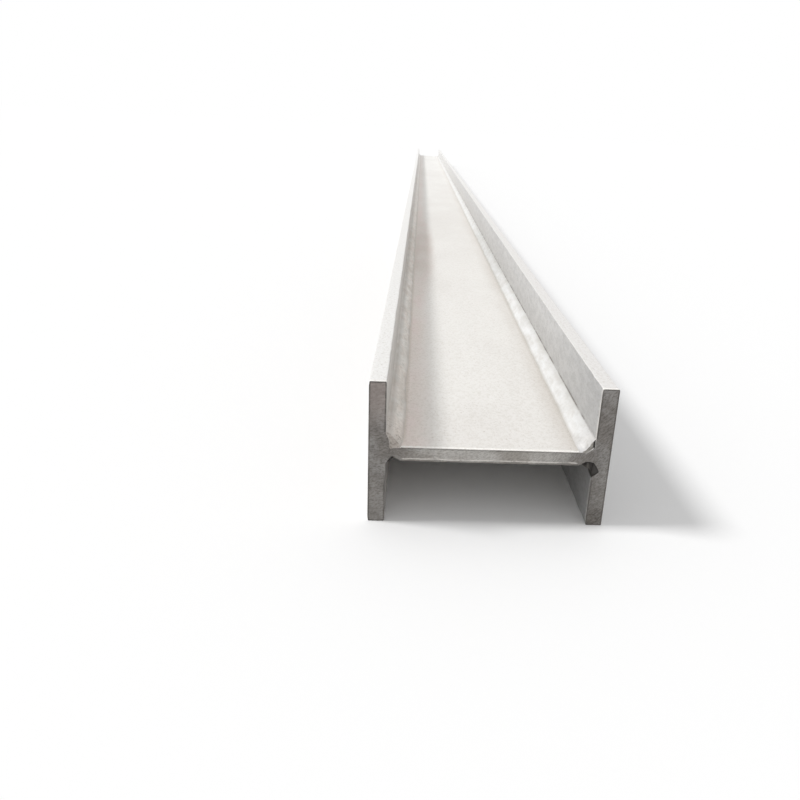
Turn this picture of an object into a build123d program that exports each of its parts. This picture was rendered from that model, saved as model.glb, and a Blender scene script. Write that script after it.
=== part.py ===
from build123d import *
import os
from math import hypot, radians, tan

# Welded H-beam, lying as an H: two flange plates stand on edge, a web plate joins them.
# X runs across the section, Y along the beam and Z up.
# The origin is on the floor, under the middle of the beam.

# Plates, in millimetres
beam_length = 6000.0
section_depth = 200.0      # across the section, from one flange's outer face to the other's
flange_width = 125.0       # the height of the beam as it lies
flange_thickness = 14.0
web_thickness = 12.0
flange_edge_radius = 1.0   # worn round on the long edges of both flanges

# Double bevel on each long edge of the web
root_gap = 4.0             # from the web's nose to the flange, filled by weld metal
nose_thickness = 2.0       # blunt land left in the middle of the web's edge
bevel_angle = 30.0         # degrees, between the bevel and the web's face

# Weld runs along the four inner corners
cap_rise = 12.0            # how far the cap climbs the flange above the web's face
cap_lap = 0.5              # how far the cap laps over the web's face past the bevel
cap_crown = 1.2            # how far the cap bulges from a flat face

# Upper runs near the two ends: a small fillet at the end face, then a sloped start
upper_end_rise = 4.8       # how far the small fillet climbs the flange
upper_end_bare = 2.5       # width of the bevel left open beside it
upper_end_hollow = 0.6     # how far its face sinks in
upper_end_flush = 1.0      # its length
upper_end_slope = 4.0      # length of the slope from it up to the cap

# Lower runs near the two ends: the groove is left mostly open, then the metal slopes up
lower_end_rise = 2.0
lower_end_bare = 7.0
lower_end_hollow = 1.0
lower_end_flush = 10.0
lower_end_slope = 12.0

# Places that follow from these sizes
half_length = beam_length / 2
half_web = web_thickness / 2
half_nose = nose_thickness / 2
inner_face = section_depth / 2 - flange_thickness   # X of the flanges' inner faces
web_height = flange_width / 2                       # Z of the web's middle plane
bevel_slope = tan(radians(bevel_angle))
bevel_start = root_gap + (half_web - half_nose) / bevel_slope  # on the web, from the flange


def flange_plate(side):
    """One flange, on the left for side -1 and on the right for side 1."""
    section = RectangleRounded(flange_thickness, flange_width, flange_edge_radius)
    plate = extrude(Plane.XZ * section, amount=half_length, both=True)
    return Pos(side * (inner_face + flange_thickness / 2), 0, web_height) * plate


def web_plate():
    """The web, with both long edges bevelled from above and below to a blunt nose."""
    nose = inner_face - root_gap
    shoulder = inner_face - bevel_start
    outline = Polyline(
        (-nose, -half_nose),
        (-shoulder, -half_web),
        (shoulder, -half_web),
        (nose, -half_nose),
        (nose, half_nose),
        (shoulder, half_web),
        (-shoulder, half_web),
        (-nose, half_nose),
        close=True,
    )
    plate = extrude(Plane.XZ * make_face(outline), amount=half_length, both=True)
    return Pos(0, 0, web_height) * plate


def run_section(side, up, y, reach, edge_height, rise, bulge):
    """Cross-section of a weld run at Y, from its face down to the web's middle plane.

    The run is on the flange that side names, above the web for up 1 and below it
    for up -1. Its face goes from the web, at reach from the flange and edge_height
    from the middle plane, to the flange, at rise from the web's face. It swells by
    bulge, or sinks in where bulge is negative.
    """
    def point(from_flange, from_middle):
        return side * (inner_face - from_flange), up * from_middle

    climb = half_web + rise - edge_height
    chord = hypot(reach, climb)
    on_web = point(reach, edge_height)
    on_flange = point(0, half_web + rise)
    on_face = point(reach / 2 + bulge * climb / chord,
                    edge_height + climb / 2 + bulge * reach / chord)
    outline = [
        Polyline(on_flange, point(0, 0), point(reach, 0), on_web),
        ThreePointArc(on_web, on_face, on_flange),
    ]
    return Pos(0, y, web_height) * (Plane.XZ * make_face(outline))


def weld_run(side, up, rise, bare, hollow, flush, slope, web):
    """One run: a slight section at each end, a slope from it, and the cap between them."""
    slight = (bevel_start - bare, half_web - bare * bevel_slope, rise, -hollow)
    full = (bevel_start + cap_lap, half_web, cap_rise, cap_crown)
    stations = [
        (half_length, slight),
        (half_length - flush, slight),
        (half_length - flush - slope, full),
    ]
    near_end = [run_section(side, up, -y, *form) for y, form in stations]
    far_end = [run_section(side, up, y, *form) for y, form in reversed(stations)]
    return loft(near_end + far_end, ruled=True) - web


def upper_run(side, web):
    return weld_run(side, 1, upper_end_rise, upper_end_bare, upper_end_hollow,
                    upper_end_flush, upper_end_slope, web)


def lower_run(side, web):
    return weld_run(side, -1, lower_end_rise, lower_end_bare, lower_end_hollow,
                    lower_end_flush, lower_end_slope, web)


web = web_plate()
pieces = {
    "web_plate": web,
    "left_flange": flange_plate(-1),
    "right_flange": flange_plate(1),
    "weld_top_left": upper_run(-1, web),
    "weld_top_right": upper_run(1, web),
    "weld_bottom_left": lower_run(-1, web),
    "weld_bottom_right": lower_run(1, web),
}

os.makedirs("parts", exist_ok=True)
for name, shape in pieces.items():
    export_step(shape, f"parts/{name}.step")
    print(name, round(shape.volume / 1000, 1), "cm3")
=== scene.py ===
import math

import bmesh
import bpy
import numpy as np
from mathutils import Matrix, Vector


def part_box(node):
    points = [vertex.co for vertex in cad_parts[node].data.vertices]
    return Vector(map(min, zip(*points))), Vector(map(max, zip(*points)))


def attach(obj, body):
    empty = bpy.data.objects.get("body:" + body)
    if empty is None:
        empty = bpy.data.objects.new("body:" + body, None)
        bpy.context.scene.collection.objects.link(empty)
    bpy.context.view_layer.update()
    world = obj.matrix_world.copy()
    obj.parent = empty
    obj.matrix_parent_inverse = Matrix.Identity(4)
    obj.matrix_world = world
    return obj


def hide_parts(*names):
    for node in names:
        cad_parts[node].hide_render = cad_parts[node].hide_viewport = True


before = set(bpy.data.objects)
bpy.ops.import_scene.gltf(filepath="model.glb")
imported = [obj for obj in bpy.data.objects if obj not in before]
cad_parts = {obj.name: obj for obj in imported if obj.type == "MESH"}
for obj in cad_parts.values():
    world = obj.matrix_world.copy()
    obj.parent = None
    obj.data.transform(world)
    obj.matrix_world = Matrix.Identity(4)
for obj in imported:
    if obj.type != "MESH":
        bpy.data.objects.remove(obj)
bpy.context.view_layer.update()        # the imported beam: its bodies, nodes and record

mm = 0.001


# Sizes that every piece shares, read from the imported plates

def readBeam():
    # Plate sizes in metres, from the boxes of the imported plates.
    webLow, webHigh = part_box("web_plate")
    leftLow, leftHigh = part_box("left_flange")
    return {
        "halfLength": leftHigh[1],
        "innerFace": -leftHigh[0],                    # X of the flanges' inner faces
        "outerFace": -leftLow[0],
        "flangeTop": leftHigh[2],
        "webMiddle": (webLow[2] + webHigh[2]) / 2,    # Z of the web's middle plane
        "halfWeb": (webHigh[2] - webLow[2]) / 2,
        "noseX": webHigh[0],                          # X of the web's blunt nose
    }


beam = readBeam()


# Shapes: waves, stations and grids

mergeWithin = 0.001 * mm   # points closer than this become one
sharpFrom = 38             # degrees between two faces from which their edge stays sharp
hair = 0.1 * mm            # enough to tell a face from its neighbour
waveSpread = (0.55, 1.9)   # shortest and longest of a set of waves, as shares of their length


def waves(t, length, amount, seed):
    # Sum of seven sines with wavelengths spread about length, phases random, scaled to amount.
    count = 7
    rng = np.random.default_rng(seed)
    lengths = length * rng.uniform(*waveSpread, count)
    phases = rng.uniform(0, 2 * math.pi, count)
    t = np.asarray(t, dtype=float)[..., None]
    return amount * np.sin(2 * math.pi * t / lengths + phases).sum(-1) / math.sqrt(count)


def smooth(t):
    # The cubic 3t^2 - 2t^3 between 0 and 1, flat outside.
    t = np.clip(t, 0, 1)
    return t * t * (3 - 2 * t)


def stationsAlong(fine, coarse, growth):
    # Distances from an end grow by one factor from fine to coarse, mirrored at mid-length.
    count = int(math.ceil(math.log(coarse / fine) / math.log(growth)))
    steps = fine * growth ** np.arange(count)
    rest = int(math.ceil((beam["halfLength"] - steps.sum()) / coarse))
    steps = np.concatenate([[0], steps, np.full(rest, coarse)])
    distance = np.cumsum(steps)
    distance *= beam["halfLength"] / distance[-1]
    near = distance - beam["halfLength"]
    return np.concatenate([near, -near[-2::-1]])


def gridPiece(name, points, slots, capRows, uv):
    # Grid of rows by columns, closed across each row; the end rows take the sawn finish.
    rows, cols = points.shape[:2]
    row, col = np.meshgrid(np.arange(rows - 1), np.arange(cols), indexing="ij")
    after = (col + 1) % cols
    faces = np.stack([row * cols + col, row * cols + after,
                      (row + 1) * cols + after, (row + 1) * cols + col], -1).reshape(-1, 4)
    mesh = bpy.data.meshes.new(name)
    mesh.from_pydata(points.reshape(-1, 3), [], faces)
    for material in slots:
        mesh.materials.append(material)
    isCap = (row < capRows) | (row >= rows - 1 - capRows)
    mesh.polygons.foreach_set("material_index", isCap.reshape(-1).astype(np.int32))
    layer = mesh.uv_layers.new(name="UVMap")
    corner = np.empty(len(mesh.loops), dtype=np.int32)
    mesh.loops.foreach_get("vertex_index", corner)
    layer.data.foreach_set("uv", uv.reshape(-1, 2)[corner].reshape(-1))
    work = bmesh.new()
    work.from_mesh(mesh)
    bmesh.ops.remove_doubles(work, verts=work.verts, dist=mergeWithin)
    bmesh.ops.recalc_face_normals(work, faces=work.faces)
    work.to_mesh(mesh)
    work.free()
    mesh.shade_smooth()
    mesh.set_sharp_from_angle(angle=math.radians(sharpFrom))
    piece = bpy.data.objects.new(name, mesh)
    bpy.context.collection.objects.link(piece)
    print(name, len(mesh.polygons), "faces")
    return piece


# Materials

noiseSpan = (0.3, 0.7)   # nearly all of a noise's values lie between these two


def colour(code):
    # sRGB hex to linear red, green, blue and alpha.
    parts = [int(code[i:i + 2], 16) / 255 for i in (1, 3, 5)]
    return [c / 12.92 if c <= 0.04045 else ((c + 0.055) / 1.055) ** 2.4 for c in parts] + [1]


def addNode(tree, kind, values):
    # Adds a node and gives back its outputs. Each value sets the property of its name, or else the
    # input of its name or number: there a socket is linked and a hex code becomes a colour.
    node = tree.nodes.new(kind)
    for key, value in values.items():
        if isinstance(key, str) and hasattr(node, key):
            setattr(node, key, value)
        elif isinstance(value, bpy.types.NodeSocket):
            tree.links.new(value, node.inputs[key])
        else:
            node.inputs[key].default_value = colour(value) if isinstance(value, str) else value
    return node.outputs


def newMaterial(name):
    # An empty material and its node tree.
    material = bpy.data.materials.new(name)
    material.use_nodes = True
    material.node_tree.nodes.clear()
    return material, material.node_tree


def finishMaterial(tree, finish, baseColour, roughness, grain):
    # The metal itself, with the grain as fine relief.
    bump = addNode(tree, "ShaderNodeBump", {"Height": grain, **finish["bump"]})[0]
    shader = addNode(tree, "ShaderNodeBsdfPrincipled", {
        "Base Color": baseColour, "Metallic": finish["metallic"], "Roughness": roughness,
        "Normal": bump})
    addNode(tree, "ShaderNodeOutputMaterial", {"Surface": shader[0]})


def mask(tree, *parts):
    # The parts multiplied together. A part is a socket or a number, or else a socket followed by
    # the two figures over which it rises smoothly, from 0 to 1 or between two more figures.
    product = None
    for part in parts:
        if isinstance(part, tuple):
            value, start, stop, low, high = (part + (0.0, 1.0))[:5]
            part = addNode(tree, "ShaderNodeMapRange", {
                "interpolation_type": "SMOOTHSTEP", 0: value, 1: start, 2: stop, 3: low, 4: high})[0]
        if product is None:
            product = part
        else:
            product = addNode(tree, "ShaderNodeMath", {"operation": "MULTIPLY", 0: product, 1: part})[0]
    return product


def coat(tree, base, shade, *parts, way="MIX"):
    # The base under a coat of the shade, as strong as the mask that the parts make. With the way
    # MULTIPLY the base is darkened by the shade. Either one is a hex code or a socket.
    return addNode(tree, "ShaderNodeMix", {
        "data_type": "RGBA", "blend_type": way, 0: mask(tree, *parts), 6: base, 7: shade})[2]


def pattern(tree, place, look):
    # Noise with features about size metres across, stretched along an axis, as a part of a mask.
    stretched = addNode(tree, "ShaderNodeMapping", {
        "Vector": place, "Scale": look.get("stretch", (1, 1, 1))})[0]
    noise = addNode(tree, "ShaderNodeTexNoise", {
        "Vector": stretched, "Scale": 1 / look["size"], "Detail": look["detail"],
        "Roughness": look["rough"]})[0]
    return (noise,) + look.get("rises", ())


def mottle(tree, place, base, look, *limits):
    # The base darkened by a pattern's own shade, within the limits.
    return coat(tree, base, look["shade"], pattern(tree, place, look), *limits, way="MULTIPLY")


# Metres from the near end to where a finish starts to pale and where it stops, and by what share: a
# painted sheen towards the far end.
paling = {"from": 0.5, "to": 6.0, "share": 0.55}
flangePaling = {"from": 0.7, "to": 4.2, "share": 0.7}
shadedStretch = (0.45, 0.85, 1.1, 1.6)   # metres from the near end: a stretch of painted shade comes and goes


def alongBeam(tree, place, base, pale, fade):
    # Painted sheen: every finish pales evenly towards the far end.
    along = addNode(tree, "ShaderNodeSeparateXYZ", {0: place})[1]
    start, stop = [fade[key] - beam["halfLength"] for key in ("from", "to")]
    share = addNode(tree, "ShaderNodeMapRange", {
        "interpolation_type": "LINEAR", 0: along, 1: start, 2: stop, 3: 0.0, 4: fade["share"]})[0]
    return coat(tree, base, pale, share)


def shadedStretchShare(tree, place):
    # 1 in the middle of the stretch of painted shade, 0 away from it.
    along = addNode(tree, "ShaderNodeSeparateXYZ", {0: place})[1]
    opens, full, narrows, closed = [d - beam["halfLength"] for d in shadedStretch]
    return mask(tree, (along, opens, full), (along, closed, narrows))


# A pattern's size is in metres, and a stretch below 1 draws it out along that axis. It rises from
# 0 to 1, or between two more figures, as its noise goes from the first figure to the second.
plateFinish = {
    "metallic": 0.25,
    "roughness": (0.52, 0.66),
    "cloud": dict(size=160 * mm, detail=5.0, rough=0.6, stretch=(1, 0.35, 1), rises=(0.35, 0.7)),
    # mottling left by the blasting, and a few dark flecks in it
    "speck": dict(size=2.6 * mm, detail=3.0, rough=0.7, stretch=(1, 0.6, 1), rises=(0.4, 0.7),
                  shade="#f4f3f1"),
    "fleck": dict(size=1.8 * mm, detail=2.0, rough=0.5, stretch=(1, 0.7, 1), rises=(0.6, 0.72),
                  shade="#eeebe9"),
    "farPale": "#f9f9f8",    # what the plate nears at the far end, in the painted sheen
    # blasted grain, drawn coarser than the real 0.2 mm to show
    "grain": dict(size=1.6 * mm, detail=2.0, rough=0.6),
    "bump": {"Strength": 0.25, "Distance": 0.4 * mm},
    "rimWidth": (4.2 * mm, 2.94 * mm),   # painted highlight on the edges at the sawn ends, partly rubbed wear: outside, and full
    "rimBreaks": dict(size=7 * mm, detail=4.0, rough=0.7, rises=(0.36, 0.5, 0.4, 1.0)),
}


def plateMaterial(name, finish, marks):
    # Blasted mill plate: faint clouds and a fine grain, so light spreads softly and nothing gleams.
    material, tree = newMaterial(name)
    coords = addNode(tree, "ShaderNodeTexCoord", {})
    place = coords["Object"]
    clouds = pattern(tree, place, plateFinish["cloud"])
    base = coat(tree, finish["pale"], finish["dull"], clouds)
    base, rimColour = marks(tree, place, base)
    base = alongBeam(tree, place, base, plateFinish["farPale"], finish["paling"])
    fromEnd = addNode(tree, "ShaderNodeSeparateXYZ", {0: coords["UV"]})[1]
    # A painted highlight, partly rubbed wear, runs round the sawn ends, broken up.
    rimGaps = pattern(tree, place, plateFinish["rimBreaks"])
    base = coat(tree, base, rimColour, (fromEnd, *plateFinish["rimWidth"]), rimGaps)
    base = mottle(tree, place, base, plateFinish["speck"])
    base = mottle(tree, place, base, plateFinish["fleck"])
    roughness = mask(tree, (clouds[0], *noiseSpan, *plateFinish["roughness"]))
    grain = pattern(tree, place, plateFinish["grain"])[0]
    finishMaterial(tree, plateFinish, base, roughness, grain)
    return material


# Lengths across the web are from the flange's inner face.
webFinish = {
    "pale": "#f2f0ec",
    "dull": "#eae7e3",
    "paling": paling,
    # painted highlight round the web's sawn ends, partly rubbed wear
    "rim": "#fffdf9",
    "tanAndShade": "#ece2db",       # warm tan beside the left-hand weld: partly a real tint, partly painted shade of the left flange
    "tintFades": (22 * mm, 44 * mm),
    "rightShade": "#dfdad4",  # and painted shade, nearly grey, beside the right-hand one
    "rightFades": (13.6 * mm, 37 * mm),
    "patch": dict(size=50 * mm, detail=3.0, rough=0.5, stretch=(1, 0.3, 1),
                  rises=(0.25, 0.75, 0.5, 1.0)),
    "blush": "#eee0db",      # faint pinkish stains within the tan
    "stain": dict(size=22 * mm, detail=4.0, rough=0.6, stretch=(1, 0.4, 1), rises=(0.42, 0.6)),
    "shadeSpread": 17 * mm,  # the tan and its painted shade reach so much further in the shaded stretch
    "stretchShade": "#ececea",
    "leftToe": 14.6 * mm,
    # painted shade along the toe of the left-hand weld
    "leftCrease": "#dad2c9",
    "leftCreaseWidth": 3.4 * mm,
    "leftCreaseShare": 0.9,
    "leftCreaseStart": 25 * mm,   # it comes in over this length from the near end
    "toe": 13.6 * mm,
    "crease": "#d5d0c9",     # painted shade, darker still, along the toe of the right-hand weld
    "creaseWidth": 4 * mm,
    "creaseLap": 0.5 * mm,   # both go on under the bead
}


def besideWelds(tree, place, base):
    # The web's colour: patchy tints that fade out from the two weld toes, partly real and partly painted
    # shade, painted shade in the creases along the toes, and its rim's painted highlight.
    axes = addNode(tree, "ShaderNodeSeparateXYZ", {0: place})
    across, along = axes[0], axes[1]
    face, nearEnd = beam["innerFace"], -beam["halfLength"]
    lap = webFinish["creaseLap"]
    patches = mask(tree, pattern(tree, place, webFinish["patch"]))
    # In the stretch of painted shade the tan reaches further and darkens.
    inStretch = shadedStretchShare(tree, place)
    spread = mask(tree, inStretch, webFinish["shadeSpread"])
    shifted = addNode(tree, "ShaderNodeMath", {"operation": "SUBTRACT", 0: across, 1: spread})[0]
    # The tan beside the left weld: partly a real tint, partly painted shade of the left flange.
    tan = coat(tree, webFinish["tanAndShade"], webFinish["blush"], pattern(tree, place, webFinish["stain"]))
    tan = coat(tree, tan, webFinish["stretchShade"], inStretch, way="MULTIPLY")
    full, gone = webFinish["tintFades"]
    base = coat(tree, base, tan, (shifted, gone - face, full - face), patches)
    # Painted shade beside the right weld, fading out from its toe.
    full, gone = webFinish["rightFades"]
    base = coat(tree, base, webFinish["rightShade"], (across, face - gone, face - full), patches)
    # Painted shade in the creases along both weld toes.
    toe = webFinish["leftToe"] - face
    crease = (across, toe + webFinish["leftCreaseWidth"], toe - lap, 0.0, webFinish["leftCreaseShare"])
    comesIn = (along, nearEnd, nearEnd + webFinish["leftCreaseStart"])
    base = coat(tree, base, webFinish["leftCrease"], crease, comesIn)
    toe = face - webFinish["toe"]
    base = coat(tree, base, webFinish["crease"], (across, toe - webFinish["creaseWidth"], toe + lap))
    return base, webFinish["rim"]


flangeBite = {
    "below": 9.4 * mm,       # its middle, below the web's middle plane
    "half": 6.8 * mm,        # half its height
    "tip": -0.3,             # its deepest place, as a share of that half
    "depth": 5.6 * mm,       # into the inner face
    "run": 4.5 * mm,         # in from the near end
    "curve": 1.4,            # the higher, the flatter its floor
}

flangeFinish = {
    "pale": "#dedede",       # the wide faces, duller than the web
    "dull": "#d6d6d6",
    "paling": flangePaling,
    "low": "#c8c7c6",        # duller still towards the web
    "lowRises": (0.95, 0.3, 0.0, 0.8),   # two shares of half the height, then how strongly
    "near": "#bbbbbb",       # and towards the near end, most on the right
    "nearLength": 250 * mm,
    "nearShare": (0.05, 0.7),
    "edge": "#e9e7e5",       # the long cut edges, the left one paler
    "leftEdge": "#f0efed",
    "edgeWidth": 0.9 * mm,
    "leftShade": "#fffcf8",  # a warmer cast on the left flange
    # soft patches in the mill skin
    "mottle": dict(size=7 * mm, detail=4.0, rough=0.65, stretch=(1, 0.4, 1), rises=(0.38, 0.64),
                   shade="#f1f1f1"),
    "biteShade": "#494643",       # painted shade in the bite at the lower right
    "biteShadeIn": 1 * mm,        # its middle, into the flange from the inner face
    "biteShadeReach": (6.6 * mm, 9.5 * mm),   # from its middle
    "biteShadeLong": 0.35,        # and so much further along the beam, as a share
    "rim": "#dbd9d6",        # at the ends of the wide faces
    "edgeRim": "#fbf9f5",    # and of the cut edges: a painted highlight, partly rubbed wear
    "side": 50 * mm,         # the flanges stand beyond this, left and right
}


def cutEdges(tree, place, base):
    # The flange's colour, duller towards the web and brighter on its cut edges, with painted shade in
    # the bite at the lower right, and its rim's, a painted highlight on the cut edges.
    across, along, height = addNode(tree, "ShaderNodeSeparateXYZ", {0: place})
    middle, nearEnd = beam["webMiddle"], -beam["halfLength"]
    side, width, long = flangeFinish["side"], flangeFinish["edgeWidth"], flangeFinish["biteShadeLong"]
    level = addNode(tree, "ShaderNodeMath", {"operation": "SUBTRACT", 0: height, 1: middle})[0]
    fromWeb = addNode(tree, "ShaderNodeMath", {"operation": "ABSOLUTE", 0: level})[0]
    start, stop, *shares = flangeFinish["lowRises"]
    base = coat(tree, base, flangeFinish["low"], (fromWeb, middle * start, middle * stop, *shares))
    towardsEnd = (along, flangeFinish["nearLength"] + nearEnd, nearEnd)
    bySide = (across, -side, side, *flangeFinish["nearShare"])
    base = coat(tree, base, flangeFinish["near"], towardsEnd, bySide)
    base = coat(tree, base, flangeFinish["leftShade"], (across, side, -side), way="MULTIPLY")
    base = mottle(tree, place, base, flangeFinish["mottle"])
    # Painted shade in the bite at the lower right, drawn out along the beam.
    flattened = addNode(tree, "ShaderNodeMapping", {"Vector": place, "Scale": (1, long, 1)})[0]
    bite = (beam["innerFace"] + flangeFinish["biteShadeIn"], nearEnd * long, middle - flangeBite["below"])
    away = addNode(tree, "ShaderNodeVectorMath", {"operation": "DISTANCE", 0: flattened, 1: bite})
    biteShade = mask(tree, (away["Value"], *flangeFinish["biteShadeReach"], 1.0, 0.0))
    base = coat(tree, base, flangeFinish["biteShade"], biteShade)
    toEdge = beam["flangeTop"] - middle
    edges = mask(tree, (fromWeb, toEdge - width, toEdge - width / 2))
    edgeColour = coat(tree, flangeFinish["leftEdge"], flangeFinish["edge"], (across, -side, side))
    rimColour = coat(tree, flangeFinish["rim"], flangeFinish["edgeRim"], edges)
    rimColour = coat(tree, rimColour, flangeFinish["biteShade"], biteShade)
    return coat(tree, base, edgeColour, edges), rimColour


sawnFinish = {
    # the ends' tone, below the plate's: partly the cut's own, partly painted shade
    "mid": "#b0adaa",
    "dark": "#9e9b98",
    "smear": dict(size=9 * mm, detail=5.0, rough=0.65, stretch=(0.5, 1, 1), rises=(0.34, 0.66)),
    "pale": "#d5d2cd",       # the web's end
    "paleFrom": 45 * mm,     # fully so, this far from the flanges
    "paleRight": (20 * mm, 0.5),   # from this far right of the middle, down to this share
    "deep": "#827e7b",       # in the saw marks
    "deepShare": (0.4, 0.3),       # on the flanges and on the web
    "webFrom": 20 * mm,      # from the flanges' inner faces to where the web's own shares hold
    # saw marks, drawn coarser than the real 0.4 mm, and their slant on the left flange and on the
    # right in degrees: the blade's arc
    "mark": dict(size=0.8 * mm, detail=3.0, rough=0.6, stretch=(0.1, 1, 1), rises=(0.42, 0.7)),
    "markSlant": (10, 42),
    "metallic": 0.35,
    "roughness": (0.5, 0.7),
    "bump": {"Strength": 0.3, "Distance": 0.4 * mm},
    # broad light and dark patches, and small pits, finer than the smears and fewer on the web
    "cloud": dict(size=28 * mm, detail=4.0, rough=0.6, rises=(0.4, 0.6), shade="#dedbd8"),
    "pit": dict(size=1.5 * mm, detail=3.0, rough=0.7, stretch=(0.55, 1, 1), rises=(0.42, 0.66),
                shade="#d0cdca"),
    "pitShare": (1.0, 0.7),
    "leftPale": (0.12, 0.3),   # how much paler the left flange is at its foot and at its top
    "topInset": 10 * mm,     # the top starts so far above the web's middle and ends below the edge
    "stain": "#fff6f5",      # reddish, at the top of the left flange
    "footShade": "#d4d2ce",  # duller and gritty at the foot of the right flange
    "grit": dict(size=1.7 * mm, detail=3.0, rough=0.7, rises=(0.44, 0.6, 0.0, 0.5)),
    # a lighter line near the web's lower edge, from and to so far above it, and a darker strip below
    "burr": "#f2eee7",
    "burrFrom": 1.4 * mm,
    "burrTo": 3.0 * mm,
    "burrSoft": (0.5 * mm, 0.6 * mm),    # over which it comes in below and goes out above
    "burrBreaks": dict(size=14 * mm, detail=4.0, rough=0.7, stretch=(1, 1, 0.2),
                       rises=(0.38, 0.55, 0.15, 0.8)),
    "darkStrip": "#938f8b",
    "darkStripSoft": (0.4 * mm, 0.2 * mm),
    "darkStripBreaks": dict(size=7 * mm, detail=4.0, rough=0.7, stretch=(1, 1, 0.3), rises=(0.4, 0.62, 0.15, 0.9)),
    "wander": dict(size=30 * mm, detail=3.0, rough=0.6, stretch=(1, 1, 0.2)),
    "wanderSpan": (0.2, 0.8),            # the noise values that move both furthest down and up
    "wanderBy": 1 * mm,
    "free": (12 * mm, 15 * mm),          # both stop at the welds, over this stretch from the flange
    "edge": "#6a6763",       # darker outline just inside the free edges
    "edgeWidth": (1.62 * mm, 0.9 * mm),
    "edgeBreaks": dict(size=12 * mm, detail=4.0, rough=0.65, rises=(0.35, 0.6, 0.4, 1.0)),
    "edgeShare": (0.5, 1.0),             # on the web and on the flanges
}


def sawnMaterial():
    # Sawn aluminium: slanted blade marks and smears, and a tone partly the cut's own and partly painted
    # shade, so the ends read darker than the plate.
    material, tree = newMaterial("sawn aluminium end")
    coords = addNode(tree, "ShaderNodeTexCoord", {})
    place = coords["Object"]
    axes = addNode(tree, "ShaderNodeSeparateXYZ", {0: place})
    across, height = axes[0], axes[2]
    face, webMiddle = beam["innerFace"], beam["webMiddle"]
    fromMiddle = addNode(tree, "ShaderNodeMath", {"operation": "ABSOLUTE", 0: across})[0]
    slants = [math.radians(angle) for angle in sawnFinish["markSlant"]]
    slant = addNode(tree, "ShaderNodeMapRange", {
        "interpolation_type": "LINEAR", 0: across, 1: -face, 2: face, 3: slants[0], 4: slants[1]})[0]
    turn = addNode(tree, "ShaderNodeCombineXYZ", {1: slant})[0]
    turned = addNode(tree, "ShaderNodeMapping", {"Vector": place, "Rotation": turn})[0]
    smears = pattern(tree, turned, sawnFinish["smear"])
    marks = pattern(tree, turned, sawnFinish["mark"])
    base = coat(tree, sawnFinish["mid"], sawnFinish["dark"], smears)

    # The web's end is paler, least at its right. Saw marks, clouds and pits lie over everything.
    rightFrom, rightShare = sawnFinish["paleRight"]
    onWeb = mask(tree, (fromMiddle, face, face - sawnFinish["paleFrom"]),
                 (across, rightFrom, face, 1.0, rightShare))
    base = coat(tree, base, sawnFinish["pale"], onWeb)
    depth = (fromMiddle, face, face - sawnFinish["webFrom"], *sawnFinish["deepShare"])
    base = coat(tree, base, sawnFinish["deep"], marks, depth)
    base = mottle(tree, place, base, sawnFinish["cloud"])
    base = mottle(tree, turned, base, sawnFinish["pit"], (onWeb, 0.0, 1.0, *sawnFinish["pitShare"]))

    # The left flange is paler at its foot and top, and reddish at its top. The right foot is gritty.
    onLeft, onRight = mask(tree, (across, 0.0, -face)), mask(tree, (across, 0.0, face))
    topFrom, topTo = webMiddle + sawnFinish["topInset"], beam["flangeTop"] - sawnFinish["topInset"]
    low, high = mask(tree, (height, webMiddle, 0.0)), mask(tree, (height, topFrom, topTo))
    for where, share in zip((low, high), sawnFinish["leftPale"]):
        base = coat(tree, base, sawnFinish["pale"], where, (onLeft, 0.5, 1.0, 0.0, share))
    base = coat(tree, base, sawnFinish["stain"], high, onLeft, way="MULTIPLY")
    rightFoot = mask(tree, low, onRight)
    base = coat(tree, base, sawnFinish["footShade"], rightFoot, way="MULTIPLY")
    base = coat(tree, base, sawnFinish["dark"], rightFoot, pattern(tree, place, sawnFinish["grit"]))

    # Near the web's lower edge run a broken line of burr and a darker strip, both wandering.
    wander = pattern(tree, place, sawnFinish["wander"])[0]
    fromNoise, toNoise = sawnFinish["wanderSpan"]
    wander = addNode(tree, "ShaderNodeMapRange", {
        "interpolation_type": "LINEAR", 0: wander, 1: fromNoise, 2: toNoise,
        3: -sawnFinish["wanderBy"], 4: sawnFinish["wanderBy"]})[0]
    height = addNode(tree, "ShaderNodeMath", {"operation": "ADD", 0: height, 1: wander})[0]
    start, stop = [webMiddle - beam["halfWeb"] + sawnFinish[key] for key in ("burrFrom", "burrTo")]
    free = mask(tree, (fromMiddle, *[face - inset for inset in sawnFinish["free"]]))
    softFrom, softTo = sawnFinish["burrSoft"]
    base = coat(tree, base, sawnFinish["burr"], (height, stop, stop - softTo),
                (height, start, start + softFrom), pattern(tree, place, sawnFinish["burrBreaks"]), free)
    over, under = sawnFinish["darkStripSoft"]
    base = coat(tree, base, sawnFinish["darkStrip"], (height, start + over, start - under),
                pattern(tree, place, sawnFinish["darkStripBreaks"]), free)

    # The dark line just inside the free edges comes last.
    inset = addNode(tree, "ShaderNodeSeparateXYZ", {0: coords["UV"]})[1]
    bySide = (fromMiddle, face - sawnFinish["webFrom"], face, *sawnFinish["edgeShare"])
    base = coat(tree, base, sawnFinish["edge"], (inset, *sawnFinish["edgeWidth"]),
                pattern(tree, place, sawnFinish["edgeBreaks"]), bySide)
    roughness = mask(tree, (marks[0], *noiseSpan, *sawnFinish["roughness"]))
    finishMaterial(tree, sawnFinish, base, roughness, marks[0])
    return material


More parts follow.
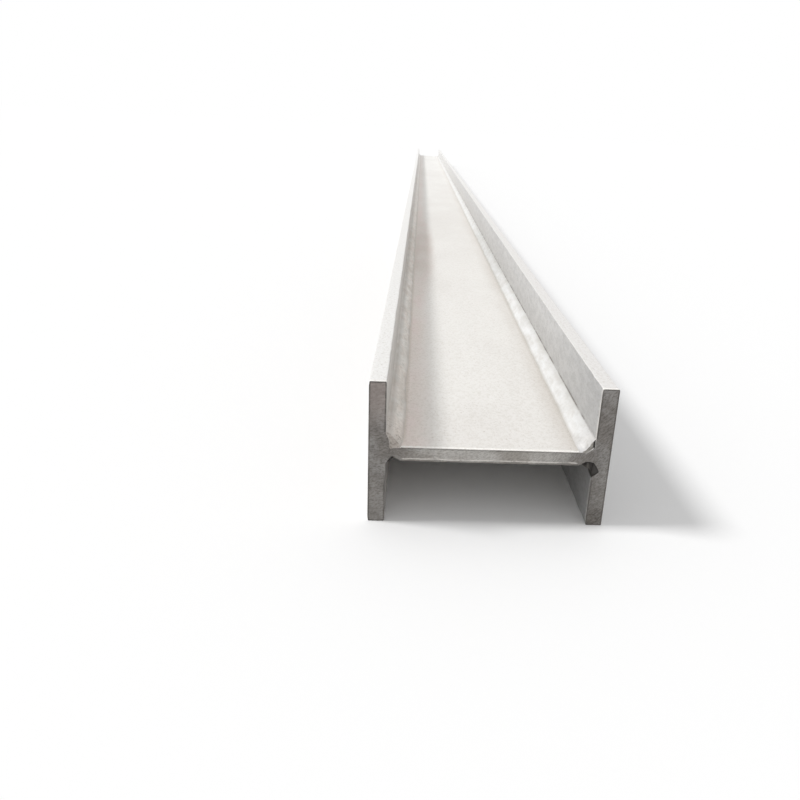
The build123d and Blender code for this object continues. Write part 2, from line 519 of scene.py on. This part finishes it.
weldFinish = {
    "metallic": 0.25,
    "roughness": (0.5, 0.62),
    "bump": {"Strength": 0.15, "Distance": 0.3 * mm},
    "grain": dict(size=1 * mm, detail=2.0, rough=0.6, stretch=(1, 0.3, 1)),
    "patch": dict(size=20 * mm, detail=4.0, rough=0.6, stretch=(1, 0.4, 1), rises=(0.4, 0.75)),
    "speck": dict(size=3 * mm, detail=3.0, rough=0.6, stretch=(1, 0.6, 1), rises=(0.42, 0.7)),
    "blotch": dict(size=9 * mm, detail=4.0, rough=0.65, stretch=(1, 0.35, 1), rises=(0.38, 0.66),
                   shade="#f1f0ee"),
    # faint warm stains, in each bead's own shade
    "stain": dict(size=17 * mm, detail=4.0, rough=0.6, stretch=(1, 0.4, 1), rises=(0.44, 0.58)),
    # dark spots left where a run starts
    "spatter": dict(size=3 * mm, detail=3.0, rough=0.65, rises=(0.52, 0.66), shade="#ccc6c2"),
    "spatterFades": (50 * mm, 10 * mm),
    # the pits in the end steps, and the breaks in the painted shade line along the flange
    "pit": dict(size=2 * mm, detail=3.0, rough=0.65, rises=(0.44, 0.62, 0.0, 0.7), shade="#b9b3ad"),
    "breaks": dict(size=30 * mm, detail=4.0, rough=0.6, rises=(0.35, 0.6, 0.35, 1.0)),
    "toeShare": 0.9,
    "stepFacing": (0.3, 0.55),   # how far a face turns to the beam's end before it takes the step's painted shade
    "slitShadeBand": (0.84, 0.9),
}

# Shares of the way across a bead, from the web toe to the flange toe, go with its bands of colour.
brightBead = {
    "pale": "#eff0f0",
    "dull": "#e8e8e7",
    "toe": "#cfccc8",        # painted shade where the bead meets the web
    "toeTo": 0.2,
    "upper": "#d7d6d4",      # painted shade, duller towards the flange
    "upperBand": (0.45, 0.95),
    "crease": "#85817c",     # painted shade: the dark line along the flange toe
    "creaseBand": (0.9, 0.97, 1.1, 1.2),
    "step": "#a19e99",       # painted shade on the sheer end of the run
    "start": "#d4d3d2",      # painted shade, duller over the first centimetres of a run
    "startLength": 40 * mm,
    "startShare": 0.8,
    "slitShade": "#3d3a38",      # painted shade in the slit where the run stands off the flange at its end
    "farPale": "#e9e9e8",
    "stretchShade": "#ececeb",
    "stainShade": "#fdfcfb",
    "spatterShare": 0.3,
}
# a duller bead, for the upper left run and, under their dark start, the lower runs
dullBead = {
    "pale": "#f2efea",
    "dull": "#dbd8d2",
    "toe": "#cec9c3",
    "toeTo": 0.24,
    "upper": "#d3d0cb",
    "upperBand": (0.5, 0.8),
    "crease": "#cac6c0",
    "creaseBand": (0.76, 0.83, 0.88, 0.94),
    "step": "#cbc6c0",
    "start": "#cfccc8",
    "startLength": 18 * mm,
    "startShare": 0.8,
    "slitShade": "#b3afaa",
    "farPale": "#f7f7f6",
    "stretchShade": "#f3f1ef",
    "stainShade": "#fbf7f5",
    "spatterShare": 1.0,
}
# The lower runs start dark: painted shade over their start, their end steps and their slit.
rootBead = dict(dullBead, step="#3a3735", start="#3a3735", startLength=24 * mm, startShare=1.0,
                slitShade="#3a3735")


def weldMaterial(name, bead):
    # Weld metal, satin and as pale as the web, with painted shade at its toes, towards the flange, in
    # the crease, over the start of a run, on the end steps and in the slit.
    material, tree = newMaterial(name)
    coords = addNode(tree, "ShaderNodeTexCoord", {})
    place = coords["Object"]
    spread = addNode(tree, "ShaderNodeSeparateXYZ", {0: coords["UV"]})
    fromEnd, across = spread[0], spread[1]
    patches = pattern(tree, place, weldFinish["patch"])
    base = coat(tree, bead["pale"], bead["dull"], patches)
    base = coat(tree, base, bead["dull"], pattern(tree, place, weldFinish["speck"]))
    # Painted shade at the web toe, towards the flange and in the crease along it.
    base = coat(tree, base, bead["toe"], (across, bead["toeTo"], 0.0, 0.0, weldFinish["toeShare"]))
    base = coat(tree, base, bead["upper"], (across, *bead["upperBand"]))
    rises, full, falls, gone = bead["creaseBand"]
    breaks = pattern(tree, place, weldFinish["breaks"])
    base = coat(tree, base, bead["crease"], (across, rises, full), (across, gone, falls), breaks)
    # Painted shade over the first centimetres of a run.
    base = coat(tree, base, bead["start"], (fromEnd, bead["startLength"], 0.0, 0.0, bead["startShare"]))
    nearStart = (fromEnd, *weldFinish["spatterFades"], 0.0, bead["spatterShare"])
    base = mottle(tree, place, base, weldFinish["spatter"], nearStart)
    # Painted shade over the shaded stretch.
    base = coat(tree, base, bead["stretchShade"], shadedStretchShare(tree, place), way="MULTIPLY")
    base = alongBeam(tree, place, base, bead["farPale"], paling)
    # Painted shade on faces turned to the beam's end, darkest in the slit at the flange toe.
    facing = addNode(tree, "ShaderNodeSeparateXYZ", {0: coords["Normal"]})[1]
    facing = addNode(tree, "ShaderNodeMath", {"operation": "ABSOLUTE", 0: facing})[0]
    onStep = mask(tree, (facing, *weldFinish["stepFacing"]))
    step = mottle(tree, place, bead["step"], weldFinish["pit"])
    base = coat(tree, base, step, onStep)
    base = coat(tree, base, bead["slitShade"], onStep, (across, *weldFinish["slitShadeBand"]))
    base = mottle(tree, place, base, weldFinish["blotch"])
    stains = pattern(tree, place, weldFinish["stain"])
    base = coat(tree, base, bead["stainShade"], stains, way="MULTIPLY")
    roughness = mask(tree, (patches[0], *noiseSpan, *weldFinish["roughness"]))
    finishMaterial(tree, weldFinish, base, roughness, pattern(tree, place, weldFinish["grain"])[0])
    return material


webPlate = plateMaterial("blasted mill aluminium web", webFinish, besideWelds)
flangePlate = plateMaterial("dull mill aluminium flange", flangeFinish, cutEdges)
sawn = sawnMaterial()
brightWeld = weldMaterial("bright aluminium weld bead", brightBead)
dullWeld = weldMaterial("dull aluminium weld bead", dullBead)
rootWeld = weldMaterial("aluminium root weld with painted shade at its start", rootBead)
print("materials made")


# Plates: an outline carried along the beam, with a lip left by the saw round each end

sawnEdge = {
    "inset": np.array([0.0, 0.12, 0.35, 0.6, 0.9, 1.4, 2.5, 4.0]) * mm,   # in from the edge
    "lip": np.array([-0.25, 0.2, 0.34, 0.2, 0.03, 0.0, 0.0, 0.0]) * mm,    # out past the end
    "lipWave": 6 * mm,
    "lipShare": (0.75, 0.45, 1.6),   # its strength on average, how far that sways, and the most
    "unlined": 1.0,                  # a depth out of reach of the dark line along the free edges
    "fine": 0.3 * mm,
    "coarse": 40 * mm,
    "growth": 1.16,
}


def outlinePoints(corners, counts):
    # Closed outline through corners, each side cut into as many steps as counts says.
    sides = []
    for start, end, count in zip(corners, np.roll(corners, -1, axis=0), counts):
        step = np.arange(count)[:, None] / count
        sides.append(start + (end - start) * step)
    return np.concatenate(sides)


def roundedOutline(low, high, radius, counts, arcSteps):
    # Rectangle with quarter circles at its corners, starting at the bottom of the right side.
    (x0, z0), (x1, z1) = low, high
    centres = [(x1 - radius, z0 + radius), (x1 - radius, z1 - radius),
               (x0 + radius, z1 - radius), (x0 + radius, z0 + radius)]
    sides = []
    for index, (cx, cz) in enumerate(centres):
        angle = math.radians(-90 + 90 * index) + np.linspace(0, math.pi / 2, arcSteps)
        arc = np.stack([cx + radius * np.cos(angle), cz + radius * np.sin(angle)], -1)
        nx, nz = centres[(index + 1) % 4]
        startAngle = math.radians(90 * index)
        start = arc[-1]
        end = np.array([nx + radius * math.cos(startAngle), nz + radius * math.sin(startAngle)])
        step = np.arange(1, counts[index])[:, None] / counts[index]
        sides += [arc, start + (end - start) * step]
    return np.concatenate(sides)


def platePiece(name, finish, outline, spine, lipMask, wobble, seed):
    # Rows from the middle line of one end, over its edge, along the beam and down the other end. An
    # end's row at each inset from the outline stands out by its lip times a strength, which is an
    # average plus waves round the outline.
    ys = stationsAlong(sawnEdge["fine"], sawnEdge["coarse"], sawnEdge["growth"])
    reach = np.linalg.norm(spine - outline, axis=1, keepdims=True)
    around = np.concatenate([[0], np.cumsum(np.linalg.norm(np.diff(outline, axis=0), axis=1))])
    body = np.empty((len(ys), len(outline), 3))
    body[..., 0] = outline[:, 0]
    body[..., 1] = ys[:, None]
    body[..., 2] = outline[:, 1]
    body += wobble(body)
    average, sway, most = sawnEdge["lipShare"]
    caps = []
    for end, row in ((-1, body[0]), (1, body[-1])):
        toSpine = spine - row[:, [0, 2]]
        room = np.linalg.norm(toSpine, axis=1, keepdims=True)
        inward = toSpine / room
        strength = average + waves(around, sawnEdge["lipWave"], sway, seed + end)
        strength = np.clip(strength, 0, most) * lipMask
        rows = []
        for inset, lip in zip(sawnEdge["inset"], sawnEdge["lip"]):
            point = row.copy()
            point[:, [0, 2]] += inward * np.minimum(inset, room)
            point[:, 1] = end * (beam["halfLength"] + lip * strength)
            rows.append(point)
        middle = row.copy()
        middle[:, [0, 2]] = spine
        middle[:, 1] = end * beam["halfLength"]
        rows.append(middle)
        caps.append(np.array(rows))
    body[0] = caps[0][0]
    body[-1] = caps[1][0]
    points = np.concatenate([caps[0][:0:-1], body, caps[1][1:]])
    capDepth = np.concatenate([np.repeat(sawnEdge["inset"][1:, None], len(outline), 1), reach.T])
    capDepth = np.where(lipMask > 0, capDepth, sawnEdge["unlined"])
    bodyDepth = np.repeat((beam["halfLength"] - np.abs(ys))[:, None], len(outline), 1)
    depth = np.concatenate([capDepth[::-1], bodyDepth, capDepth])
    uv = np.stack([np.broadcast_to(around, depth.shape), depth], -1)
    piece = gridPiece(name, points, [finish, sawn], len(sawnEdge["inset"]), uv)
    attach(piece, "root")
    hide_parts(name)
    return piece


flangeShape = {
    "edgeRadius": 0.9 * mm,
    "sideSteps": 96,
    "edgeSteps": 8,
    "cornerSteps": 5,
    "noLip": 19 * mm,         # the saw leaves no lip so near the web, where the welds are
    "sway": 0.18 * mm,        # how far the cut edges wander in height
    "swayLength": 90 * mm,
    "swayBand": (0.8, 0.2),   # from this share of half the height, and over so much of it
    "sideSway": 0.25 * mm,    # and sideways
    "sideSwayLength": 60 * mm,
    "sideSwayBand": (0.93, 0.06),
}


def flangePiece(name, side, seed, bite=None):
    # Upright plate: rounded rectangle in section, its two edges wandering slightly.
    radius = flangeShape["edgeRadius"]
    low = np.array([side * beam["innerFace"], 0.0])
    high = np.array([side * beam["outerFace"], beam["flangeTop"]])
    xs = sorted([low[0], high[0]])
    counts = [flangeShape["sideSteps"], flangeShape["edgeSteps"]] * 2
    outline = roundedOutline((xs[0], low[1]), (xs[1], high[1]), radius, counts,
                             flangeShape["cornerSteps"])
    half = (xs[1] - xs[0]) / 2
    middleX = xs[0] + half
    spine = outline.copy()
    spine[:, 0] = middleX
    spine[:, 1] = np.clip(spine[:, 1], half, beam["flangeTop"] - half)
    fromWeb = np.abs(outline[:, 1] - beam["webMiddle"])
    innerSide = np.abs(outline[:, 0]) < beam["innerFace"] + hair
    lipMask = np.where(innerSide & (fromWeb < flangeShape["noLip"]), 0.0, 1.0)
    swayFrom, swayOver = flangeShape["swayBand"]
    sideFrom, sideOver = flangeShape["sideSwayBand"]

    def wobble(body):
        # The edges sway by waves along y. A bite in the inner face has the depth 1 - s^curve, where
        # s goes from 0 at its tip to 1 at its top and foot, and fades over its run from the end.
        shift = np.zeros_like(body)
        share = (body[..., 2] - beam["webMiddle"]) / beam["webMiddle"]
        tip = smooth((np.abs(share) - swayFrom) / swayOver) * np.sign(share)
        away = waves(body[..., 1], flangeShape["swayLength"], flangeShape["sway"], seed)
        shift[..., 2] = -np.abs(away) * tip
        corner = smooth((np.abs(share) - sideFrom) / sideOver)
        for face, draw in ((-1, 1), (1, 2)):
            onFace = np.sign(body[..., 0] - middleX) == face
            away = waves(body[..., 1], flangeShape["sideSwayLength"], flangeShape["sideSway"],
                         seed + draw)
            shift[..., 0] += np.where(onFace, -face * np.abs(away), 0) * corner
        if bite:
            t = (body[..., 2] - beam["webMiddle"] + bite["below"]) / bite["half"] - bite["tip"]
            s = np.clip(np.where(t > 0, t / (1 - bite["tip"]), -t / (1 + bite["tip"])), 0, 1)
            fade = 1 - smooth((body[..., 1] + beam["halfLength"]) / bite["run"])
            depth = bite["depth"] * (1 - s ** bite["curve"]) * fade
            shift[..., 0] += np.where(innerSide, side * depth, 0)
        return shift

    return platePiece(name, flangePlate, outline, spine, lipMask, wobble, seed)


webShape = {
    "faceSteps": 150,
    "bevelSteps": 5,
    "noseSteps": 2,
    "bevelRun": 8.66 * mm,    # from the nose to where the bevel meets the web's face
    "halfNose": 1.0 * mm,
    "spineInset": 2.0 * mm,   # where the middle line of the end stops, in from the nose
}


def webPiece(name, seed):
    # Level plate with a double bevel on both long edges.
    half, nose = beam["halfWeb"], beam["noseX"]
    shoulder = nose - webShape["bevelRun"]
    halfNose = webShape["halfNose"]
    corners = np.array([[-shoulder, -half], [shoulder, -half], [nose, -halfNose], [nose, halfNose],
                        [shoulder, half], [-shoulder, half], [-nose, halfNose], [-nose, -halfNose]])
    counts = [webShape[key] for key in ("faceSteps", "bevelSteps", "noseSteps", "bevelSteps")] * 2
    outline = outlinePoints(corners, counts)
    spine = outline * [1.0, 0.0]
    spineEnd = nose - webShape["spineInset"]
    spine[:, 0] = np.clip(spine[:, 0], -spineEnd, spineEnd)
    lipMask = np.where(np.abs(outline[:, 0]) > shoulder + hair, 0.0, 1.0)
    outline[:, 1] += beam["webMiddle"]
    spine[:, 1] += beam["webMiddle"]
    return platePiece(name, webPlate, outline, spine, lipMask, np.zeros_like, seed)


flangePiece("left_flange", -1, 11)
flangePiece("right_flange", 1, 23, flangeBite)
webPiece("web_plate", 37)
print("plates made")


# Weld runs: a convex face between two wandering toes, over the hidden root

runShape = {
    "rise": 12.0 * mm,        # up the flange from the web's face
    "reach": 12.9 * mm,       # along the web from the flange, just past the bevel's edge
    "leftMore": 1.4 * mm,     # the upper left run reaches further over the web
    "edge": -0.05 * mm,       # the web toe's height above the web's face
    "crown": 1.3 * mm,
    "valley": 6.5 * mm,       # how strongly the face fairs in to the web toe
    "riseSway": 0.22 * mm,
    "reachSway": 0.3 * mm,
    "swayLength": 110 * mm,
    "crownSway": 0.2 * mm,
    "crownSwayLength": 55 * mm,
    "ripple": 0.06 * mm,
    "rippleShare": (0.6, 0.4),       # its strength on average and how far that sways
    "rippleShareLength": 25 * mm,
    "rippleLength": 4.6 * mm,
    "rippleDrift": 0.8 * mm,         # how unevenly the ripples follow each other
    "rippleDriftLength": 30 * mm,
    "rippleBow": 4.0 * mm,    # how far the middle of a ripple trails its ends
    "faceSteps": 18,
    "sunk": 0.15 * mm,        # how far the hidden faces sit inside the plates
    "shortened": 1e-5,        # share of the length by which both ends stay inside the plates'
    "toeTuck": 0.2 * mm,      # how far the hidden faces start behind the toes
    "noseClear": 0.3 * mm,    # and the least that they keep from the web's nose
    "slitSlope": 3.0,         # how much deeper a slit goes than it is wide
    "root": (0.8 * mm, 2.6 * mm),    # where an end closes, from the flange and below the web's face
    "fine": 0.4 * mm,
    "coarse": 2.6 * mm,
    "growth": 1.05,
}

# A run's end: its foot is the section at the beam's end and its nose the one just behind it, both
# as distance from the flange and height above the web's face, from the web toe to the flange toe.
# The wall between them starts and stops so far from the end, first at the web toe, then at the
# flange toe, and the nose passes into the full section over the merge.
upperLeftEnd = {
    "foot": np.array([[11.8, -0.3], [10.8, -0.5], [9.6, -0.6], [6.6, -0.5], [5.0, -0.9], [4.1, -1.5],
                      [3.1, -0.4], [2.8, 3.5], [2.5, 6.5], [0.9, 10.2], [0.0, 12.6]]) * mm,
    "nose": np.array([[12.5, 0.0], [10.2, 2.2], [7.0, 5.4], [4.0, 8.4], [2.0, 10.6], [0.0, 12.4]]) * mm,
    "wall": ((0.0, 4.5), (0.6, 6.0)),
    "merge": (4.0, 14.0),
}
upperRightEnd = {
    "foot": np.array([[12.0, -0.1], [10.5, -0.1], [8.4, -0.3], [6.9, -0.5], [4.0, 1.4], [2.0, 3.0],
                      [0.8, 4.6]]) * mm,
    "nose": np.array([[12.7, 0.0], [10.6, 0.2], [8.6, 0.7], [7.2, 1.6], [4.8, 5.0], [2.2, 8.8],
                      [0.0, 11.4]]) * mm,
    "wall": ((0.3, 0.9), (0.8, 1.6)),
    "merge": (3.0, 16.0),
}
lowerLeftEnd = {
    "foot": np.array([[6.2, -3.8], [5.4, -3.9], [3.6, -2.3], [1.8, 0.0], [0.5, 2.2], [0.0, 3.8]]) * mm,
    "nose": np.array([[6.4, -3.7], [5.4, -3.4], [3.6, -1.8], [1.8, 0.5], [0.5, 2.7], [0.0, 4.2]]) * mm,
    "wall": ((4.0, 8.0), (4.0, 8.0)),
    "merge": (8.0, 22.0),
}
lowerRightEnd = {
    "foot": np.array([[8.0, -3.3], [6.0, -3.5], [4.2, -3.6], [2.6, -3.5], [1.2, -3.3], [0.4, -3.1],
                      [0.0, -3.0]]) * mm,
    "nose": np.array([[8.0, -2.8], [5.0, -2.4], [2.6, -1.0], [1.5, 1.0], [1.0, 3.0], [0.4, 5.6],
                      [0.0, 7.4]]) * mm,
    "wall": ((2.0, 3.5), (2.0, 3.5)),
    "merge": (8.0, 22.0),
}


def runFace(ys, end, wider, seed):
    # Toes and face at every station, as distance from the flange and height from the middle
    # plane. The full face is a chord plus crown 4a(1 - a), less valley a (1 - a)^3, where a goes
    # from 0 at the web to 1 at the flange. Towards an end it blends into the nose, then the foot.
    across = np.linspace(0, 1, runShape["faceSteps"] + 1)
    fromEnd = beam["halfLength"] - np.abs(ys)
    sway = runShape["swayLength"]
    rise = (runShape["rise"] + waves(ys, sway, runShape["riseSway"], seed))[:, None]
    reach = (runShape["reach"] + wider + waves(ys, sway, runShape["reachSway"], seed + 1))[:, None]
    crown = waves(ys, runShape["crownSwayLength"], runShape["crownSway"], seed + 2)
    crown = (runShape["crown"] + crown)[:, None]
    bow = runShape["rippleBow"] * 4 * across * (1 - across)
    drift = waves(ys, runShape["rippleDriftLength"], runShape["rippleDrift"], seed + 3)
    phase = (ys[:, None] + bow + drift[:, None]) / runShape["rippleLength"]
    average, share = runShape["rippleShare"]
    ripple = runShape["ripple"] * (average + waves(ys, runShape["rippleShareLength"], share, seed + 4))
    ripple = ripple[:, None]
    climb = rise - runShape["edge"]
    chord = np.hypot(reach, climb)
    height = (crown + ripple * np.sin(2 * math.pi * phase)) * 4 * across * (1 - across)
    height -= runShape["valley"] * across * (1 - across) ** 3
    u = reach * (1 - across) + height * climb / chord
    v = runShape["edge"] + climb * across + height * reach / chord
    fromEnd = fromEnd[:, None]
    merged = smooth((fromEnd - end["merge"][0] * mm) / ((end["merge"][1] - end["merge"][0]) * mm))
    (webStart, webStop), (flangeStart, flangeStop) = np.array(end["wall"]) * mm
    starts = webStart + (flangeStart - webStart) * across
    stops = webStop + (flangeStop - webStop) * across
    behind = smooth((fromEnd - starts) / (stops - starts))

    def alongSection(key, axis):
        return np.interp(across, np.linspace(0, 1, len(end[key])), end[key][:, axis])

    noseU, noseV = alongSection("nose", 0), alongSection("nose", 1)
    footU, footV = alongSection("foot", 0), alongSection("foot", 1)
    u, v = noseU + (u - noseU) * merged, noseV + (v - noseV) * merged
    u, v = footU + (u - footU) * behind, footV + (v - footV) * behind
    return across, u, v + beam["halfWeb"]


def weldRun(name, finish, side, up, end, seed, wider=0.0):
    # Each station is a loop: the face from web toe to flange toe, then down the flange to the
    # middle plane, out to the nose and up the bevel, all hidden in the plates.
    ys = stationsAlong(runShape["fine"], runShape["coarse"], runShape["growth"])
    ys[[0, -1]] *= 1 - runShape["shortened"]
    across, u, v = runFace(ys, end, wider, seed)
    sunk = runShape["sunk"]
    gap = beam["innerFace"] - beam["noseX"]
    shoulder = gap + webShape["bevelRun"]
    halfNose = webShape["halfNose"]
    slope = (beam["halfWeb"] - halfNose) / webShape["bevelRun"]
    tuck = runShape["toeTuck"]
    lowU = np.clip(np.minimum(u[:, 0], shoulder) - tuck, gap + runShape["noseClear"], None)
    zero = np.zeros_like(ys)
    # Where a run stands off the flange, it leaves a slit.
    slitFoot = v[:, -1] - tuck - runShape["slitSlope"] * u[:, -1]
    back = [(zero - sunk, slitFoot), (zero - sunk, zero), (zero + gap, zero),
            (zero + gap + sunk, zero + halfNose - sunk),
            (lowU, halfNose + (lowU - gap) * slope - sunk * 2)]
    u = np.concatenate([u, np.stack([p[0] for p in back], -1)], 1)
    v = np.concatenate([v, np.stack([p[1] for p in back], -1)], 1)
    body = np.empty((len(ys), u.shape[1], 3))
    body[..., 0] = side * (beam["innerFace"] - u)
    body[..., 1] = ys[:, None]
    body[..., 2] = beam["webMiddle"] + up * v
    caps = body[[0, -1]]                         # each end closes on a point near the root
    rootAcross, rootDown = runShape["root"]
    caps[..., 0] = side * (beam["innerFace"] - rootAcross)
    caps[..., 2] = beam["webMiddle"] + up * (beam["halfWeb"] - rootDown)
    points = np.concatenate([caps[:1], body, caps[1:]])
    uv = np.empty(points.shape[:2] + (2,))
    uv[..., 0] = beam["halfLength"] - np.abs(points[..., 1])
    uv[..., 1] = np.concatenate([across, np.linspace(1, 0, len(back))])
    uv[[0, -1], :, 1] = 1.0
    piece = gridPiece(name, points, [finish, sawn], 1, uv)
    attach(piece, "root")
    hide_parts(name)
    return piece


weldRun("weld_top_left", dullWeld, -1, 1, upperLeftEnd, 101, runShape["leftMore"])
weldRun("weld_top_right", brightWeld, 1, 1, upperRightEnd, 211)
weldRun("weld_bottom_left", rootWeld, -1, -1, lowerLeftEnd, 307)
weldRun("weld_bottom_right", rootWeld, 1, -1, lowerRightEnd, 401)
print("weld runs made")


# Floor, light and camera

studio = {
    "floorSide": 120.0,
    "floorColour": "#ffffff",
    "floorBounce": "#9e9e9e",   # what it throws back, so the underside stays dark
    "backColour": "#ffffff",
    "skyColour": "#ffffff",
    "skyLight": 0.6,
    "keyHeight": 50,          # degrees above the floor, from the left
    "keyBehind": 4,           # degrees round towards the far end
    "keySoftness": 13,        # degrees across
    "keyPower": 1.65,
}


def seenRays(tree):
    # 1 for the rays that show the backdrop: from the camera, off gloss and through glass.
    path = addNode(tree, "ShaderNodeLightPath", {})
    seen = path["Is Camera Ray"]
    for ray in ("Is Glossy Ray", "Is Transmission Ray"):
        seen = addNode(tree, "ShaderNodeMath", {"operation": "MAXIMUM", 0: seen, 1: path[ray]})[0]
    return seen


def makeFloor():
    # A level square, far wider than the view.
    half = studio["floorSide"] / 2
    mesh = bpy.data.meshes.new("floor")
    corners = [(-half, -half, 0), (half, -half, 0), (half, half, 0), (-half, half, 0)]
    mesh.from_pydata(corners, [], [(0, 1, 2, 3)])
    material, tree = newMaterial("pale floor")
    base = coat(tree, studio["floorBounce"], studio["floorColour"], seenRays(tree))
    shader = addNode(tree, "ShaderNodeBsdfDiffuse", {"Color": base})
    addNode(tree, "ShaderNodeOutputMaterial", {"Surface": shader[0]})
    mesh.materials.append(material)
    floor = bpy.data.objects.new("floor", mesh)
    bpy.context.collection.objects.link(floor)


def makeWorld():
    # The backdrop is white to the rays that show it, and to the rest it is the sky light.
    world = bpy.data.worlds.new("studio")
    world.use_nodes = True
    tree = world.node_tree
    tree.nodes.clear()
    sky = addNode(tree, "ShaderNodeBackground", {
        "Color": studio["skyColour"], "Strength": studio["skyLight"]})
    back = addNode(tree, "ShaderNodeBackground", {"Color": studio["backColour"], "Strength": 1.0})
    both = addNode(tree, "ShaderNodeMixShader", {0: seenRays(tree), 1: sky[0], 2: back[0]})
    addNode(tree, "ShaderNodeOutputWorld", {"Surface": both[0]})
    bpy.context.scene.world = world


def makeKey():
    # Soft light from above and to the left, the same all along the beam.
    light = bpy.data.lights.new("key", "SUN")
    light.angle = math.radians(studio["keySoftness"])
    light.energy = studio["keyPower"]
    lamp = bpy.data.objects.new("key", light)
    lamp.matrix_world = (Matrix.Rotation(math.radians(-studio["keyBehind"]), 4, "Z")
                         @ Matrix.Rotation(math.radians(studio["keyHeight"] - 90), 4, "Y"))
    bpy.context.collection.objects.link(lamp)


camera = {
    "place": (-0.0654, -3.5085, 0.3140),   # from the vanishing point and the near end's corners
    "lens": 31.08,
    "sensor": 36,
    "nearest": 0.01,
    "farthest": 200,
    "turn": -4.188,       # degrees from straight along the beam, to the right where negative
    "tilt": 19.813,       # degrees down
    "roll": 3.455,
    "shift": (-0.0764, -0.0276),           # the photo was cropped off its centre
}


def makeCamera():
    # The camera that was fitted to the beam: turned, then tilted down, then rolled.
    data = bpy.data.cameras.new("camera")
    data.lens = camera["lens"]
    data.sensor_width = camera["sensor"]
    data.shift_x, data.shift_y = camera["shift"]
    data.clip_start = camera["nearest"]
    data.clip_end = camera["farthest"]
    eye = bpy.data.objects.new("camera", data)
    eye.matrix_world = (Matrix.Translation(camera["place"])
                        @ Matrix.Rotation(math.radians(camera["turn"]), 4, "Z")
                        @ Matrix.Rotation(math.radians(90 - camera["tilt"]), 4, "X")
                        @ Matrix.Rotation(math.radians(camera["roll"]), 4, "Z"))
    bpy.context.collection.objects.link(eye)
    bpy.context.scene.camera = eye


makeFloor()
makeWorld()
makeKey()
makeCamera()
bpy.context.scene.view_settings.view_transform = "Standard"
print("studio made")
